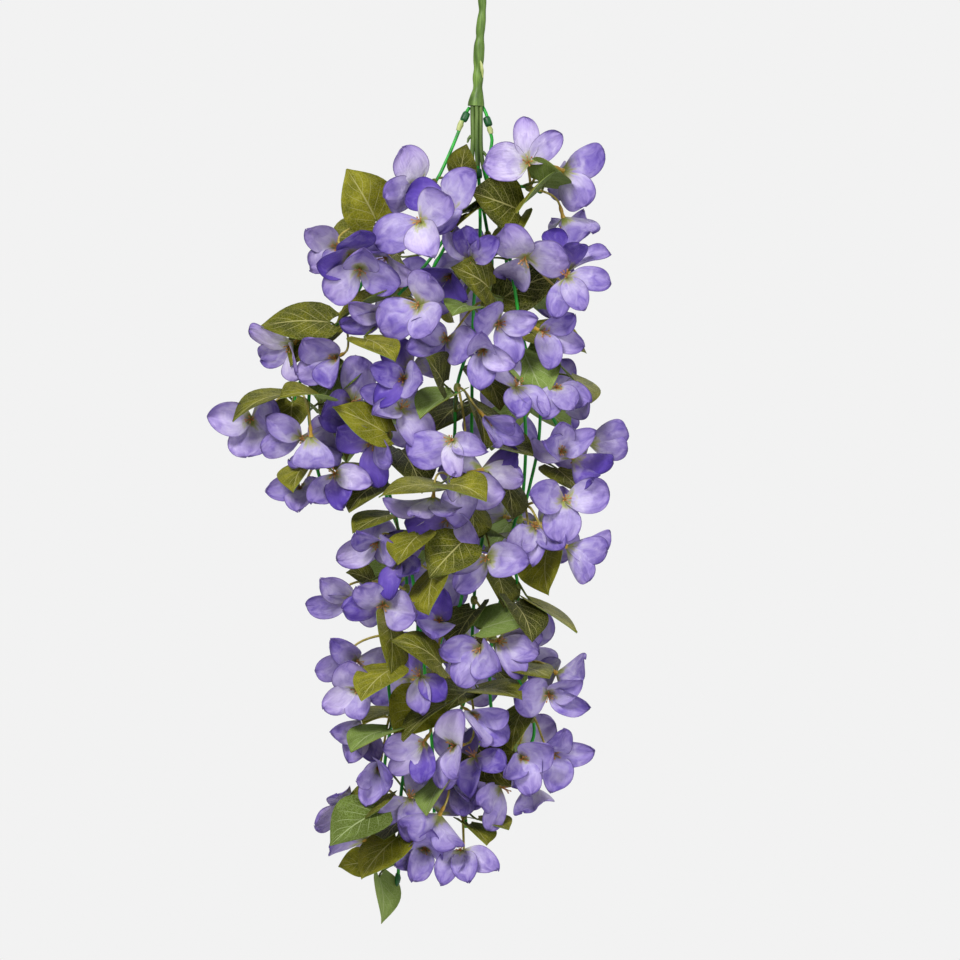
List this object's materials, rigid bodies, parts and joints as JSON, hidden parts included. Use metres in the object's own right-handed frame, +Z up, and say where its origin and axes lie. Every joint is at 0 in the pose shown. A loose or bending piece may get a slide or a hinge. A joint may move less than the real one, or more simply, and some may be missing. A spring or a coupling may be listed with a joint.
{
  "type": "artificial flowering vine spray",
  "caption": "Hanging artificial bougainvillea spray: long leafy strands from one stem, with bunches of papery violet blooms.",
  "frame": {"origin": "middle of the stem's cut end, at the top of the spray", "axes": "+Z up, out of the cut end; the spray hangs down along -Z; -Y is the front that the picture shows; +X is right in the picture"},
  "size_m": [0.4155, 0.2743, 0.9497],
  "materials": {
    "stem": "moulded olive green plastic",
    "strand": "green plastic over wire, with printed cloth leaves",
    "sleeve": "moulded dark green plastic",
    "bract": "thin dyed violet cloth on tan plastic stalks"
  },
  "bodies": {
    "root": {"main_stem": "stem", "strand_left": "strand", "strand_rear_left": "strand", "strand_inner_left": "strand", "strand_middle": "strand", "strand_centre": "strand", "strand_inner_right": "strand", "strand_right": "strand", "strand_rear_right": "strand", "sleeve_left": "sleeve", "sleeve_right": "sleeve", "sleeve_middle": "sleeve", "sleeve_low": "sleeve", "bunch_shoulder_left": "bract", "bunch_outer_left": "bract", "bunch_elbow_left": "bract", "bunch_tip_left": "bract", "bunch_foot_left": "bract", "bunch_high_inner": "bract", "bunch_bend_inner": "bract", "bunch_mid_inner": "bract", "bunch_waist_inner": "bract", "bunch_hip_inner": "bract", "bunch_low_inner": "bract", "bunch_shin_inner": "bract", "bunch_foot_inner": "bract", "bunch_high_middle": "bract", "bunch_neck_middle": "bract", "bunch_chest_middle": "bract", "bunch_waist_middle": "bract", "bunch_hip_middle": "bract", "bunch_knee_middle": "bract", "bunch_shin_middle": "bract", "bunch_toe_middle": "bract", "bunch_waist_centre": "bract", "bunch_hip_centre": "bract", "bunch_twig_centre": "bract", "bunch_knee_centre": "bract", "bunch_shin_centre": "bract", "bunch_calf_centre": "bract", "bunch_foot_centre": "bract", "bunch_high_right": "bract", "bunch_neck_right": "bract", "bunch_chest_right": "bract", "bunch_outer_right": "bract", "bunch_waist_right": "bract", "bunch_hip_right": "bract", "bunch_knee_right": "bract", "bunch_shin_right": "bract", "bunch_foot_right": "bract", "bunch_top_right": "bract", "bunch_rear_a": "bract", "bunch_rear_b": "bract", "bunch_rear_c": "bract", "bunch_rear_d": "bract", "bunch_rear_f": "bract", "bunch_rear_g": "bract", "bunch_rear_h": "bract", "bunch_rear_i": "bract", "bunch_rear_j": "bract"}
  },
  "joints": []
}
